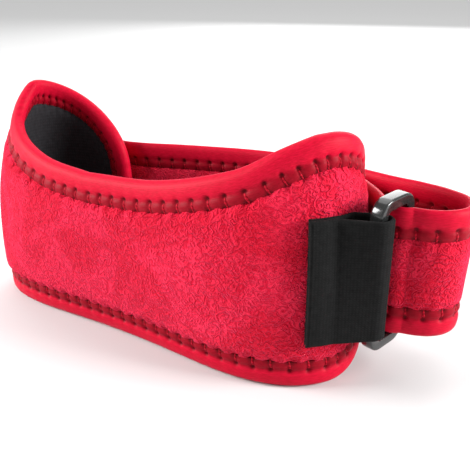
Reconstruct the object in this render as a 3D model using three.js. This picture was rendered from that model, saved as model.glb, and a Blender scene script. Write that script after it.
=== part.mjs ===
// A patella strap, closed and empty, standing on the lower edge of its pad.
// Lengths are millimetres and +Z is up. The pad's front looks towards -Y. The ring is at the +X end.
// Shapes are laid out flat as cloth, (along, height), and then placed on the bent course of the cloth.

import * as THREE from 'three';

// Pad: a two-lobed panel, low in the middle
const FAR_REACH = 119;
const NEAR_REACH = 114.5;
const NEAR_HEIGHT = 76.8;
const FAR_HEIGHT = NEAR_HEIGHT + 2.6;
const FAR_PEAK = 69;
const NEAR_PEAK = 84;
const DIP_HEIGHT = 56.6;
const END_TOP = 46.8;
const END_FOOT = 36;
const FAR_FOOT = 96;
const NEAR_FOOT = 84;
const PAD_BULGE = 5;
const PAD_THICK = 6.4;
const PAD_EDGE = 4.8;
const PAD_SLOPE = 4;
const LINING_THICK = 0.7;

// Tape folded over the edges
const TAPE_LAP = 9;
const TAPE_WALL = 0.8;
const TAPE_FOOT = 1.8;

// Strap
const STRAP_WIDTH = 41;
const STRAP_THICK = 3.4;
const STRAP_EDGE = 3.2;
const STRAP_SLOPE = 3;
const STRAP_CORNER = 14;
const STRAP_SEWN = 46;
const STRAP_LEAVE = 8;
const STRAP_FOOT_FAR = 13.5;
const STRAP_FOOT_NEAR = 15.5;
const OVERLAP = 31;
const PATCH_THICK = 1.2;
const PATCH_LENGTH = 26;
const PATCH_MARGIN = 6;

// Ring and the webbing that holds it
const RING_BAR = 3.4;
const RING_DEPTH = 4.2;
const RING_PITCH = 12.5;
const RING_CORNER = 3.2;
const RING_PLAY = 0.4;
const RING_AHEAD = 13.6;
const RING_SWING = 48;
const RING_LEAN = 5;
const FOLD_TURN = 100;
const JOIN_BEFORE = 41.6;
const WEB_WIDTH = 38;
const WEB_THICK = 1.4;

// Spacing of the stations along the strap
const RUN_STEP = 5.2;
const TURN_STEP = 4.6;

// Clearances
const GAP = 0.35;
const LINING_GAP = 0.5;
const SEWN_GAP = 0.7;
const BAR_GAP = 0.8;

// Course of the pad's lower edge, from the far end (-1) to the near end (+1) of its half-length:
// heading of the cloth and lean of its top towards the leg, both in degrees.
const PAD_COURSE = [
  { along: -1.0, heading: -197.6, lean: 3.7, bulge: 0.6 },
  { along: -0.875, heading: -184.6, lean: 5.3, bulge: 0.8 },
  { along: -0.75, heading: -150.5, lean: 6.4, bulge: 1 },
  { along: -0.625, heading: -107.5, lean: 6.9, bulge: 1 },
  { along: -0.5, heading: -61.2, lean: 7.1, bulge: 1 },
  { along: -0.375, heading: -19.6, lean: 6.1, bulge: 1 },
  { along: -0.25, heading: -1.7, lean: 3.5, bulge: 1 },
  { along: -0.125, heading: 2.0, lean: 0.9, bulge: 1 },
  { along: 0.0, heading: 0.0, lean: -0.3, bulge: 1 },
  { along: 0.125, heading: -2.9, lean: -0.2, bulge: 1 },
  { along: 0.25, heading: -5.1, lean: 0.1, bulge: 1 },
  { along: 0.375, heading: -4.5, lean: 0.5, bulge: 1 },
  { along: 0.5, heading: 4.8, lean: 0.9, bulge: 0.85 },
  { along: 0.625, heading: 26.3, lean: 1.3, bulge: 0.55 },
  { along: 0.75, heading: 64.0, lean: 1.8, bulge: 0.3 },
  { along: 0.875, heading: 106.9, lean: 2.3, bulge: 0.25 },
  { along: 1.0, heading: 147.2, lean: 3.0, bulge: 0.25 },
];

// Top edge of the pad between its middle and a lobe's peak: share of the way out, and share of
// the rise from the dip to the peak.
const TOP_EDGE = [
  { out: 0, rise: 0 },
  { out: 0.33, rise: 0.1 },
  { out: 0.66, rise: 0.46 },
  { out: 0.82, rise: 0.8 },
  { out: 0.93, rise: 0.97 },
  { out: 1, rise: 1 },
];

// Back run of the strap, from where it leaves the far lobe to where it meets the near lobe:
// shares of the straight distance between the two, along it and outwards from it.
const BACK_RUN = [
  { along: 0.088, out: 0.019 },
  { along: 0.211, out: 0.070 },
  { along: 0.357, out: 0.121 },
  { along: 0.500, out: 0.161 },
  { along: 0.643, out: 0.173 },
  { along: 0.764, out: 0.146 },
  { along: 0.875, out: 0.094 },
];

// Free end of the strap, from the ring round the right-hand turn to where it lies on the back run:
// shares of the distance between the bar and that place, along it and outwards from it.
const FOLD_RUN = [
  { along: -0.206, out: 0.143 },
  { along: -0.217, out: 0.314 },
  { along: -0.117, out: 0.462 },
  { along: 0.066, out: 0.499 },
  { along: 0.292, out: 0.432 },
  { along: 0.488, out: 0.315 },
  { along: 0.653, out: 0.194 },
  { along: 0.814, out: 0.090 },
];

const FAR = { side: -1, reach: FAR_REACH, peak: FAR_PEAK, height: FAR_HEIGHT, foot: FAR_FOOT };
const NEAR = { side: 1, reach: NEAR_REACH, peak: NEAR_PEAK, height: NEAR_HEIGHT, foot: NEAR_FOOT };
const lobeAt = (along) => (along < 0 ? FAR : NEAR);

const radians = (degrees) => (degrees * Math.PI) / 180;
const mix = (a, b, t) => a + (b - a) * t;

// Value of one column of a table at a place, smooth through its rows.
function read(table, place, value, x) {
  const last = table.length - 1;
  let i = 0;
  while (i < last - 1 && x > table[i + 1][place]) i += 1;
  const slope = (k) => {
    const a = table[Math.max(k - 1, 0)];
    const b = table[Math.min(k + 1, last)];
    return (b[value] - a[value]) / (b[place] - a[place]);
  };
  const p = table[i];
  const q = table[i + 1];
  const h = q[place] - p[place];
  const t = (x - p[place]) / h;
  if (t < 0) return p[value];
  if (t > 1) return q[value];
  const a = (2 * t ** 3 - 3 * t ** 2 + 1) * p[value] + (3 * t ** 2 - 2 * t ** 3) * q[value];
  const b = (t ** 3 - 2 * t ** 2 + t) * h * slope(i) + (t ** 3 - t ** 2) * h * slope(i + 1);
  return a + b;
}

// The pad's lower edge in plan, walked from the middle both ways in short steps.
const STEP = 0.5;
for (const lobe of [FAR, NEAR]) {
  lobe.walk = [[0, 0]];
  for (let i = 0; i * STEP < lobe.reach + 1; i += 1) {
    const share = (lobe.side * (i + 0.5) * STEP) / lobe.reach;
    const heading = radians(read(PAD_COURSE, 'along', 'heading', share));
    const [x, y] = lobe.walk[i];
    lobe.walk.push([x + lobe.side * STEP * Math.cos(heading), y + lobe.side * STEP * Math.sin(heading)]);
  }
}

function padFrame(along) {
  const { walk: points, reach } = lobeAt(along);
  const at = Math.min(Math.abs(along) / STEP, points.length - 1.001);
  const i = Math.floor(at);
  const heading = radians(read(PAD_COURSE, 'along', 'heading', along / reach));
  return {
    x: mix(points[i][0], points[i + 1][0], at - i),
    y: mix(points[i][1], points[i + 1][1], at - i),
    forward: [Math.cos(heading), Math.sin(heading)],
    outward: [Math.sin(heading), -Math.cos(heading)],
    lean: radians(read(PAD_COURSE, 'along', 'lean', along / reach)),
    bulge: PAD_BULGE * read(PAD_COURSE, 'along', 'bulge', along / reach),
  };
}

// A place in the pad: along the cloth, up the cloth, and outwards from its middle layer.
function padPoint(along, height, out) {
  const f = padFrame(along);
  const bulge = f.bulge * Math.sin(Math.PI * Math.min(height / NEAR_HEIGHT, 1.05));
  const push = bulge - Math.sin(f.lean) * height + out;
  return [f.x + f.outward[0] * push, f.y + f.outward[1] * push, height * Math.cos(f.lean)];
}

// Outlines run clockwise: along the top, down the near side, back along the foot, up the far side.
function padOutline(topCount, sideCount) {
  const top = [];
  for (let i = 0; i <= topCount; i += 1) {
    const share = (2 * i) / topCount - 1;
    const lobe = lobeAt(share);
    const rise = read(TOP_EDGE, 'out', 'rise', Math.abs(share));
    top.push([share * lobe.peak, mix(DIP_HEIGHT, lobe.height, rise)]);
  }
  const half = sideCount / 2;
  const endOf = (lobe) => {
    const side = [];
    for (let i = 1; i < half; i += 1) {
      const a = (i / (half - 0.5)) * (Math.PI / 2);
      side.push([
        lobe.peak + (lobe.reach - lobe.peak) * Math.sin(a),
        END_TOP + (lobe.height - END_TOP) * Math.cos(a),
      ]);
    }
    side.push([lobe.reach, (END_TOP + END_FOOT) / 2]);
    for (let i = half - 1; i > 0; i -= 1) {
      const a = (i / (half - 0.5)) * (Math.PI / 2);
      side.push([lobe.foot + (lobe.reach - lobe.foot) * Math.sin(a), END_FOOT * (1 - Math.cos(a))]);
    }
    return side.map(([along, height]) => [lobe.side * along, height]);
  };
  const foot = [];
  for (let i = 0; i <= topCount; i += 1) foot.push([mix(NEAR_FOOT, -FAR_FOOT, i / topCount), 0]);
  return [...top, ...endOf(NEAR), ...foot, ...endOf(FAR).reverse()];
}

// The same outline moved inwards.
function inset(outline, depth) {
  const count = outline.length;
  return outline.map((point, i) => {
    const a = outline[(i + count - 1) % count];
    const b = outline[(i + 1) % count];
    const length = Math.hypot(b[0] - a[0], b[1] - a[1]);
    return [
      point[0] + (depth * (b[1] - a[1])) / length,
      point[1] - (depth * (b[0] - a[0])) / length,
    ];
  });
}

// A closed body from points and triangles, faces turned outwards.
function solid(name, colour, points, faces) {
  let volume = 0;
  for (const [i, j, k] of faces) {
    const [a, b, c] = [points[i], points[j], points[k]];
    volume += a[0] * (b[1] * c[2] - b[2] * c[1]);
    volume += a[1] * (b[2] * c[0] - b[0] * c[2]);
    volume += a[2] * (b[0] * c[1] - b[1] * c[0]);
  }
  const turned = volume < 0 ? faces.map(([i, j, k]) => [i, k, j]) : faces;
  const geometry = new THREE.BufferGeometry();
  geometry.setAttribute('position', new THREE.Float32BufferAttribute(points.flat(), 3));
  geometry.setIndex(turned.flat());
  geometry.computeVertexNormals();
  const mesh = new THREE.Mesh(geometry, new THREE.MeshStandardMaterial({ color: colour }));
  mesh.name = name;
  return mesh;
}

const quad = (a, b, c, d) => [
  [a, b, c],
  [a, c, d],
];

// A cloth panel: rings of the outline inwards, then a grid over the middle, on both faces.
// Each layer row gives its depth from the edge and the offset of the outer and inner face there.
// outlineAt gives the outline at a depth from the edge.
function panel(name, colour, outlineAt, topCount, sideCount, layers, place) {
  const points = [];
  const faces = [];
  const edge = {};
  for (const face of ['outer', 'inner']) {
    const flip = face === 'inner';
    const add = (a, b, c, d) => faces.push(...(flip ? quad(a, d, c, b) : quad(a, b, c, d)));
    const count = 2 * (topCount + sideCount);
    let ring = [];
    let flat = [];
    layers.forEach((layer, level) => {
      flat = outlineAt(layer.depth);
      const next = flat.map(([along, height]) => points.push(place(along, height, layer[face])) - 1);
      if (level === 0) edge[face] = next;
      else next.forEach((_, i) => add(ring[i], ring[(i + 1) % count], next[(i + 1) % count], next[i]));
      ring = next;
    });
    const middle = layers[layers.length - 1][face];
    const border = (i, j) => {
      if (j === 0) return i;
      if (i === topCount) return topCount + j;
      if (j === sideCount) return topCount + sideCount + (topCount - i);
      return (2 * topCount + sideCount + (sideCount - j)) % count;
    };
    const drop = (i, j) => {
      const [high, here, low] = [0, j, sideCount].map((k) => flat[border(i, k)][1]);
      return (high - here) / (high - low);
    };
    const grid = [];
    for (let j = 0; j <= sideCount; j += 1) {
      const v = (drop(0, j) + drop(topCount, j)) / 2;
      grid.push([]);
      for (let i = 0; i <= topCount; i += 1) {
        if (i === 0 || i === topCount || j === 0 || j === sideCount) {
          grid[j].push(ring[border(i, j)]);
          continue;
        }
        const u = i / topCount;
        const at = [0, 1].map((axis) => {
          const pick = (a, b) => flat[border(a, b)][axis];
          const across = mix(pick(0, j), pick(topCount, j), u);
          const down = mix(pick(i, 0), pick(i, sideCount), v);
          const head = mix(pick(0, 0), pick(topCount, 0), u);
          const foot = mix(pick(0, sideCount), pick(topCount, sideCount), u);
          return across + down - mix(head, foot, v);
        });
        grid[j].push(points.push(place(at[0], at[1], middle)) - 1);
      }
    }
    for (let j = 0; j < sideCount; j += 1) {
      for (let i = 0; i < topCount; i += 1) {
        add(grid[j][i], grid[j][i + 1], grid[j + 1][i + 1], grid[j + 1][i]);
      }
    }
  }
  edge.outer.forEach((_, i) => {
    const k = (i + 1) % edge.outer.length;
    faces.push(...quad(edge.inner[i], edge.inner[k], edge.outer[k], edge.outer[i]));
  });
  return solid(name, colour, points, faces);
}

// A profile of (depth from the edge, offset) carried round an outline.
function edging(name, colour, outlineAt, profile, place) {
  const points = [];
  const faces = [];
  const rings = profile.map(([depth]) => outlineAt(depth));
  rings[0].forEach((_, i) => {
    profile.forEach(([, offset], j) => points.push(place(rings[j][i][0], rings[j][i][1], offset)));
  });
  const count = rings[0].length;
  const size = profile.length;
  for (let i = 0; i < count; i += 1) {
    for (let j = 0; j < size; j += 1) {
      const k = (i + 1) % count;
      const l = (j + 1) % size;
      const corners = [i * size + j, k * size + j, k * size + l, i * size + l];
      const rising = profile[l][0] >= profile[j][0];
      faces.push(...(rising ? quad(...corners) : quad(...corners.slice(1), corners[0])));
    }
  }
  return solid(name, colour, points, faces);
}

// Folded tape: open towards the middle of the panel, with a flat crown.
function tapeProfile(edgeThick) {
  const face = edgeThick / 2;
  const room = face - TAPE_WALL;
  const crown = TAPE_FOOT / 2;
  return [
    [TAPE_LAP, room],
    [TAPE_LAP, face - 0.2],
    [1.5, face],
    [0, crown],
    [0, -crown],
    [1.5, -face],
    [TAPE_LAP, 0.2 - face],
    [TAPE_LAP, -room],
    [TAPE_WALL, -room],
    [TAPE_WALL, room],
  ];
}

// Cloth that stands free of the pad is a row of stations, each with a foot, a head and a bow.
const station = (foot, head, bow = 0) => ({ foot, head, bow });
const between = (a, b, t) => a.map((value, axis) => mix(value, b[axis], t));
const middleOf = (s) => between(s.foot, s.head, 0.5);
const distance = (a, b) => Math.hypot(a[0] - b[0], a[1] - b[1], a[2] - b[2]);

function stationOnPad(along, foot, width, out) {
  const low = padPoint(along, foot, out);
  const high = padPoint(along, foot + width, out);
  const chord = between(low, high, 0.5);
  const real = padPoint(along, foot + width / 2, out);
  const { outward } = padFrame(along);
  const bow = (real[0] - chord[0]) * outward[0] + (real[1] - chord[1]) * outward[1];
  return station(low, high, bow);
}

// A smooth course through stations, sampled at about equal steps between two of them.
function smooth(stations, first, last, step) {
  const foot = new THREE.CatmullRomCurve3(stations.map((s) => new THREE.Vector3(...s.foot)));
  const head = new THREE.CatmullRomCurve3(stations.map((s) => new THREE.Vector3(...s.head)));
  const segments = stations.length - 1;
  const at = (x) => {
    const i = Math.min(Math.floor(x), segments - 1);
    const bow = mix(stations[i].bow, stations[i + 1].bow, x - i);
    const t = x / segments;
    return station(foot.getPoint(t).toArray(), head.getPoint(t).toArray(), bow);
  };
  const fine = [];
  const parts = 400;
  for (let i = 0; i <= parts; i += 1) fine.push(at(mix(first, last, i / parts)));
  const sums = [0];
  for (let i = 1; i <= parts; i += 1) {
    sums.push(sums[i - 1] + distance(middleOf(fine[i - 1]), middleOf(fine[i])));
  }
  const total = sums[parts];
  const count = Math.round(total / step);
  const out = [];
  let k = 0;
  for (let i = 0; i <= count; i += 1) {
    const want = (total * i) / count;
    while (k < parts - 1 && sums[k + 1] < want) k += 1;
    const t = (want - sums[k]) / (sums[k + 1] - sums[k]);
    out.push(
      station(
        between(fine[k].foot, fine[k + 1].foot, t),
        between(fine[k].head, fine[k + 1].head, t),
        mix(fine[k].bow, fine[k + 1].bow, t),
      ),
    );
  }
  return out;
}

// Direction across the cloth, level and to the left of its run, at a station's foot or head.
function leftOf(stations, i, end) {
  const a = stations[Math.max(i - 1, 0)][end];
  const b = stations[Math.min(i + 1, stations.length - 1)][end];
  const length = Math.hypot(b[0] - a[0], b[1] - a[1]);
  return [-(b[1] - a[1]) / length, (b[0] - a[0]) / length, 0];
}

const moved = (point, direction, by) => point.map((value, axis) => value + direction[axis] * by);

function shift(stations, i, by) {
  return station(
    moved(stations[i].foot, leftOf(stations, i, 'foot'), by),
    moved(stations[i].head, leftOf(stations, i, 'head'), by),
    stations[i].bow,
  );
}

// Places in a run of stations: length along it, height up it and offset to its left.
function placer(stations, width) {
  const marks = [0];
  for (let i = 1; i < stations.length; i += 1) {
    marks.push(marks[i - 1] + distance(middleOf(stations[i - 1]), middleOf(stations[i])));
  }
  const spot = (i, share, offset) => {
    const s = stations[i];
    const left = between(leftOf(stations, i, 'foot'), leftOf(stations, i, 'head'), share);
    const bow = s.bow * 4 * share * (1 - share);
    return moved(between(s.foot, s.head, share), left, offset + bow);
  };
  const place = (along, height, offset) => {
    let i = 0;
    while (i < marks.length - 2 && along > marks[i + 1]) i += 1;
    const t = (along - marks[i]) / (marks[i + 1] - marks[i]);
    return between(spot(i, height / width, offset), spot(i + 1, height / width, offset), t);
  };
  return { marks, place };
}

// Ring: its far bar holds the strap and its near bar the webbing. It stands beside the near lobe.
const barRadius = Math.hypot(RING_BAR, RING_DEPTH) / 2 - 0.5;
const ringInner = STRAP_WIDTH + 2 * RING_PLAY;
const ringHeight = ringInner + 2 * RING_BAR;
const ringMiddle = STRAP_FOOT_NEAR + STRAP_WIDTH / 2;
const strapOnPad = PAD_THICK / 2 + SEWN_GAP + STRAP_THICK / 2;
const meetAlong = 0.93 * NEAR_REACH;
const meetFrame = padFrame(meetAlong);
const barOut = strapOnPad + STRAP_THICK / 2 + BAR_GAP + barRadius;
const meetPoint = padPoint(meetAlong, ringMiddle, barOut);
const back = [-meetFrame.forward[0], -meetFrame.forward[1], 0];
const swing = radians(RING_SWING);
const ringAlong = [
  back[0] * Math.cos(swing) + back[1] * Math.sin(swing),
  back[1] * Math.cos(swing) - back[0] * Math.sin(swing),
  0,
];
const strapBar = moved(meetPoint, back, RING_AHEAD);
const webBar = moved(strapBar, ringAlong, RING_PITCH);
const leanWay = [padFrame(NEAR_REACH * 0.62).outward[0], padFrame(NEAR_REACH * 0.62).outward[1], 0];
const upAxis = moved([0, 0, Math.cos(radians(RING_LEAN))], leanWay, Math.sin(radians(RING_LEAN)));

function onBar(bar, height) {
  return moved(bar, upAxis, (height - bar[2]) / upAxis[2]);
}

// Stations round a bar: from one compass angle to another, in degrees about its axis.
function aroundBar(bar, radius, foot, width, from, to, count) {
  const out = [];
  for (let i = 0; i <= count; i += 1) {
    const a = radians(mix(from, to, i / count));
    const side = [Math.cos(a) * radius, Math.sin(a) * radius, 0];
    out.push(
      station(moved(onBar(bar, foot), side, 1), moved(onBar(bar, foot + width), side, 1)),
    );
  }
  return out;
}

// Compass angle at which a line from a point touches a circle, passing it on the given side.
function touch(point, centre, radius, side) {
  const dx = point[0] - centre[0];
  const dy = point[1] - centre[1];
  const open = Math.acos(radius / Math.hypot(dx, dy));
  return ((Math.atan2(dy, dx) + side * open) * 180) / Math.PI;
}

// Strap, first part: sewn to the far lobe, along the back, past the near lobe, to the ring.
const sewn = [];
for (let i = 0; i <= 10; i += 1) {
  const along = mix(STRAP_SEWN, STRAP_LEAVE, i / 10) - FAR_REACH;
  sewn.push(stationOnPad(along, STRAP_FOOT_FAR, STRAP_WIDTH, strapOnPad));
}
const leave = sewn[sewn.length - 1];
const meet = stationOnPad(meetAlong, STRAP_FOOT_NEAR, STRAP_WIDTH, strapOnPad);
meet.bow = 0;

function laid(table, from, to, sideways) {
  return table.map(({ along, out }) => {
    const ends = ['foot', 'head'].map((end) => {
      const dx = to[end][0] - from[end][0];
      const dy = to[end][1] - from[end][1];
      return [
        from[end][0] + along * dx - sideways * out * dy,
        from[end][1] + along * dy + sideways * out * dx,
        mix(from[end][2], to[end][2], Math.min(Math.max(along, 0), 1)),
      ];
    });
    return station(ends[0], ends[1]);
  });
}

const wrapRadius = barRadius + BAR_GAP + STRAP_THICK / 2;
const foldFrom = touch(middleOf(meet), strapBar, wrapRadius, 1);
const foldTo = foldFrom + FOLD_TURN;
const fold = aroundBar(strapBar, wrapRadius, STRAP_FOOT_NEAR, STRAP_WIDTH, foldFrom, foldTo, 8);
const firstPart = [...sewn, ...laid(BACK_RUN, leave, meet, 1), meet, ...fold];
const run = smooth(firstPart, 0, firstPart.length - fold.length, RUN_STEP);

// Strap, second part: round the right-hand turn and back on itself.
const stack = STRAP_THICK + PATCH_THICK + 2 * GAP;
const joinAt = run.length - Math.round(JOIN_BEFORE / RUN_STEP);
const lastAt = joinAt - Math.round(OVERLAP / RUN_STEP);
const lap = [];
for (let i = joinAt; i >= lastAt; i -= 1) lap.push(shift(run, i, stack));
const barStation = station(
  onBar(strapBar, STRAP_FOOT_NEAR),
  onBar(strapBar, STRAP_FOOT_NEAR + STRAP_WIDTH),
);
const turn = laid(FOLD_RUN, barStation, lap[0], -1);
const secondPart = [...fold.slice(-3), ...turn, ...lap.slice(0, 3)];
const turnRun = smooth(secondPart, 2, 3 + turn.length, TURN_STEP);
const strapRun = [...run, ...fold.slice(1), ...turnRun.slice(1), ...lap.slice(1)];
const strap = placer(strapRun, STRAP_WIDTH);
const strapLength = strap.marks[strap.marks.length - 1];

// The strap's outline at a depth from its edge: a long rectangle with round ends.
const firstCorner = STRAP_CORNER;
const lastCorner = strapLength - STRAP_CORNER;
const strapMarks = strap.marks.filter((m) => m > firstCorner + 1.5 && m < lastCorner - 1.5);
const strapTop = [firstCorner, ...strapMarks, lastCorner];
function strapOutline(depth) {
  const radius = STRAP_CORNER - depth;
  const corner = (angle) => [
    strapLength - STRAP_CORNER + radius * Math.sin(radians(angle)),
    STRAP_WIDTH - STRAP_CORNER + radius * Math.cos(radians(angle)),
  ];
  const upper = [corner(30), corner(60)];
  const lower = upper.map(([along, height]) => [along, STRAP_WIDTH - height]).reverse();
  const side = [...upper, [strapLength - depth, STRAP_WIDTH / 2], ...lower];
  const far = side.map(([along, height]) => [strapLength - along, height]).reverse();
  return [
    ...strapTop.map((along) => [along, STRAP_WIDTH - depth]),
    ...side,
    ...[...strapTop].reverse().map((along) => [along, depth]),
    ...far,
  ];
}

// Webbing: up the lobe, round the ring's near bar and back, both legs sewn flat at their end.
const webAlong = NEAR_REACH * 0.665;
const webFoot = ringMiddle - WEB_WIDTH / 2;
const webOnPad = PAD_THICK / 2 + SEWN_GAP + WEB_THICK / 2;
const webRadius = barRadius + BAR_GAP + WEB_THICK / 2;
const leaveLobe = (out, side) => {
  const leg = [];
  for (let x = 0; x <= 24; x += 3) {
    const here = stationOnPad(webAlong + x, webFoot, WEB_WIDTH, out);
    leg.push(here);
    const end = radians(touch(middleOf(here), webBar, webRadius, side));
    const dx = webBar[0] + webRadius * Math.cos(end) - middleOf(here)[0];
    const dy = webBar[1] + webRadius * Math.sin(end) - middleOf(here)[1];
    const { outward } = padFrame(webAlong + x);
    if (x >= 6 && dx * outward[0] + dy * outward[1] > 0.12 * Math.hypot(dx, dy)) break;
  }
  return leg;
};
const rear = leaveLobe(webOnPad, -1).map((s) => station(s.foot, s.head, -s.bow));
const front = leaveLobe(webOnPad + WEB_THICK + GAP, 1).reverse();
const webFrom = touch(middleOf(rear[rear.length - 1]), webBar, webRadius, -1);
const webTo = touch(middleOf(front[0]), webBar, webRadius, 1);
const webTurn = aroundBar(webBar, webRadius, webFoot, WEB_WIDTH, webFrom, webTo - 360, 12);
const straight = (a, b, count) => {
  const out = [];
  for (let i = 1; i < count; i += 1) {
    const t = i / count;
    out.push(station(between(a.foot, b.foot, t), between(a.head, b.head, t), mix(a.bow, b.bow, t)));
  }
  return out;
};
const webRun = [
  ...rear,
  ...straight(rear[rear.length - 1], webTurn[0], 5),
  ...webTurn,
  ...straight(webTurn[12], front[0], 5),
  ...front,
];

// A plain strip of even thickness along a run of stations, between two heights.
function strip(name, colour, place, marks, low, high, rows, thick, offset) {
  const points = [];
  const faces = [];
  const size = 2 * (rows + 1);
  for (const along of marks) {
    const heights = [];
    for (let j = 0; j <= rows; j += 1) heights.push(mix(low, high, j / rows));
    for (const height of heights) points.push(place(along, height, offset + thick / 2));
    for (const height of heights.reverse()) points.push(place(along, height, offset - thick / 2));
  }
  for (let i = 0; i + 1 < marks.length; i += 1) {
    for (let j = 0; j < size; j += 1) {
      const l = (j + 1) % size;
      faces.push(...quad(i * size + j, i * size + l, (i + 1) * size + l, (i + 1) * size + j));
    }
  }
  for (const [start, flip] of [
    [0, false],
    [(marks.length - 1) * size, true],
  ]) {
    for (let j = 0; j < rows; j += 1) {
      const [a, b, c, d] = [j, j + 1, size - 2 - j, size - 1 - j].map((k) => start + k);
      faces.push(...(flip ? quad(a, b, c, d) : quad(d, c, b, a)));
    }
  }
  return solid(name, colour, points, faces);
}

// Ring: a rounded bar carried round a tall rectangle with rounded corners.
function ring() {
  const points = [];
  const faces = [];
  const path = [];
  const halfLong = ringHeight / 2 - RING_BAR / 2 - RING_CORNER;
  const halfShort = RING_PITCH / 2 - RING_CORNER;
  for (const [sx, sz, start] of [
    [1, 1, 0],
    [-1, 1, 90],
    [-1, -1, 180],
    [1, -1, 270],
  ]) {
    for (let i = 0; i <= 4; i += 1) {
      const a = radians(start + (i * 90) / 4);
      path.push([
        sx * halfShort + RING_CORNER * Math.cos(a),
        sz * halfLong + RING_CORNER * Math.sin(a),
        Math.cos(a),
        Math.sin(a),
      ]);
    }
  }
  const [w, d, c] = [RING_BAR / 2, RING_DEPTH / 2, 1];
  const section = [
    [w, d - c],
    [w - c, d],
    [c - w, d],
    [-w, d - c],
    [-w, c - d],
    [c - w, -d],
    [w - c, -d],
    [w, c - d],
  ];
  const centre = between(strapBar, webBar, 0.5);
  const across = moved([0, 0, 0], ringAlong, -1);
  const tilt = across[0] * upAxis[0] + across[1] * upAxis[1];
  const length = Math.hypot(...[0, 1, 2].map((k) => across[k] - tilt * upAxis[k]));
  const acrossAxis = [0, 1, 2].map((k) => (across[k] - tilt * upAxis[k]) / length);
  const facing = [
    acrossAxis[1] * upAxis[2] - acrossAxis[2] * upAxis[1],
    acrossAxis[2] * upAxis[0] - acrossAxis[0] * upAxis[2],
    acrossAxis[0] * upAxis[1] - acrossAxis[1] * upAxis[0],
  ];
  for (const [x, z, nx, nz] of path) {
    for (const [u, v] of section) {
      points.push(moved(moved(moved(centre, acrossAxis, x + nx * u), upAxis, z + nz * u), facing, v));
    }
  }
  for (let i = 0; i < path.length; i += 1) {
    for (let j = 0; j < 8; j += 1) {
      const k = (i + 1) % path.length;
      const l = (j + 1) % 8;
      faces.push(...quad(i * 8 + j, k * 8 + j, k * 8 + l, i * 8 + l));
    }
  }
  return solid('ring', 0x181a1b, points, faces);
}

const RED = 0xd3203a;
const BLACK = 0x1b1b1d;
const TOP_COUNT = 26;
const SIDE_COUNT = 12;
const padRoom = PAD_EDGE / 2 - TAPE_WALL - GAP;
const tuck = TAPE_WALL + GAP;
const padEdge = padOutline(TOP_COUNT, SIDE_COUNT);
const padOutlineAt = (depth) => inset(padEdge, depth);
const liningFace = PAD_THICK / 2 - LINING_THICK;
const liningRoom = padRoom - LINING_THICK;
const bodyLayers = [
  { depth: tuck, outer: padRoom, inner: LINING_GAP - liningRoom },
  { depth: TAPE_LAP + GAP, outer: padRoom, inner: LINING_GAP - liningRoom },
  { depth: TAPE_LAP + PAD_SLOPE, outer: PAD_THICK / 2, inner: LINING_GAP - liningFace },
];
const liningLayers = [
  { depth: tuck, outer: -liningRoom, inner: -padRoom },
  { depth: TAPE_LAP + GAP, outer: -liningRoom, inner: -padRoom },
  { depth: TAPE_LAP + PAD_SLOPE, outer: -liningFace, inner: -PAD_THICK / 2 },
];
const strapRoom = STRAP_EDGE / 2 - TAPE_WALL - GAP;
const strapLayers = [
  { depth: tuck, outer: strapRoom, inner: -strapRoom },
  { depth: TAPE_LAP + GAP, outer: strapRoom, inner: -strapRoom },
  { depth: TAPE_LAP + STRAP_SLOPE, outer: STRAP_THICK / 2, inner: -STRAP_THICK / 2 },
];
const web = placer(webRun, WEB_WIDTH);
const patchEnd = placer(lap, STRAP_WIDTH);
const lapLength = patchEnd.marks[patchEnd.marks.length - 1];
const patchMarks = [
  ...patchEnd.marks.filter((m) => m > lapLength - PATCH_LENGTH && m < lapLength - PATCH_MARGIN),
  lapLength - PATCH_MARGIN,
];

const parts = [
  panel('pad_body', RED, padOutlineAt, TOP_COUNT, SIDE_COUNT, bodyLayers, padPoint),
  panel('pad_lining', BLACK, padOutlineAt, TOP_COUNT, SIDE_COUNT, liningLayers, padPoint),
  edging('pad_binding', RED, padOutlineAt, tapeProfile(PAD_EDGE), padPoint),
  panel('strap_body', RED, strapOutline, strapTop.length - 1, 6, strapLayers, strap.place),
  edging('strap_binding', RED, strapOutline, tapeProfile(STRAP_EDGE), strap.place),
  strip('ring_tab', BLACK, web.place, web.marks, 0, WEB_WIDTH, 4, WEB_THICK, 0),
  ring(),
  strip(
    'hook_patch',
    BLACK,
    patchEnd.place,
    patchMarks,
    PATCH_MARGIN,
    STRAP_WIDTH - PATCH_MARGIN,
    1,
    PATCH_THICK,
    (STRAP_THICK + PATCH_THICK) / 2 + GAP,
  ),
];

const group = new THREE.Group();
group.name = 'patella_strap';
group.add(...parts);

// Origin under the middle of the whole, on the floor.
const box = new THREE.Box3().setFromObject(group);
for (const part of parts) {
  part.geometry.translate(-(box.min.x + box.max.x) / 2, -(box.min.y + box.max.y) / 2, -box.min.z);
}

export default group;
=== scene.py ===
# %% [markdown]
# # A patella strap, closed and standing on its padded front
#
# The object is a loop of soft cloth: a tall padded front with two lobes, a narrower strap round
# the back, a plastic ring and a black webbing tab. Nearly everything on it is one idea used again:
# a flat cut piece of cloth, described by how far along it and how high up it a point lies, and a
# rule that says where that point goes once the cloth is bent round the leg. The scene therefore
# works in cloth coordinates, in millimetres, and turns them into metres at the very end.

import math

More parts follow.
